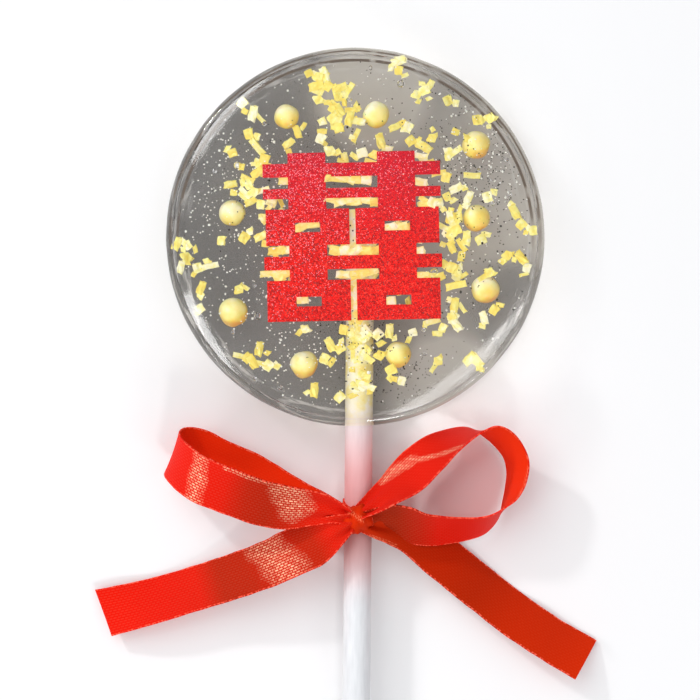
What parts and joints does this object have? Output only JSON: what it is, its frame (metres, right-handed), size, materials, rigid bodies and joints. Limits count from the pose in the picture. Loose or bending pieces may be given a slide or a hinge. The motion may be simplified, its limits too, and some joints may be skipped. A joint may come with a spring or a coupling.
{
  "type": "lollipop",
  "caption": "Clear round candy lollipop on a paper stick, with a red wedding ornament and sugar pearls cast inside and a satin ribbon bow tied below.",
  "frame": {"origin": "centre of the disc's flat back face, on which the lollipop lies", "axes": "+Z out of the disc's shown face, +Y from the stick towards the top of the disc, +X to the right of the shown face"},
  "size_m": [0.0805, 0.1756, 0.0129],
  "materials": {
    "clear_candy": "glossy, clear, with fine bubbles",
    "white_paper": "smooth rolled paper",
    "red_glitter_wafer": "fine glitter",
    "sugar_pearl": "pearly",
    "red_satin": "woven satin"
  },
  "bodies": {
    "root": {"candy_disc": "clear_candy", "paper_stick": "white_paper", "wedding_ornament": "red_glitter_wafer", "pearl_01": "sugar_pearl", "pearl_02": "sugar_pearl", "pearl_03": "sugar_pearl", "pearl_04": "sugar_pearl", "pearl_05": "sugar_pearl", "pearl_06": "sugar_pearl", "pearl_07": "sugar_pearl", "pearl_08": "sugar_pearl", "pearl_09": "sugar_pearl", "ribbon_bow": "red_satin"}
  },
  "joints": []
}
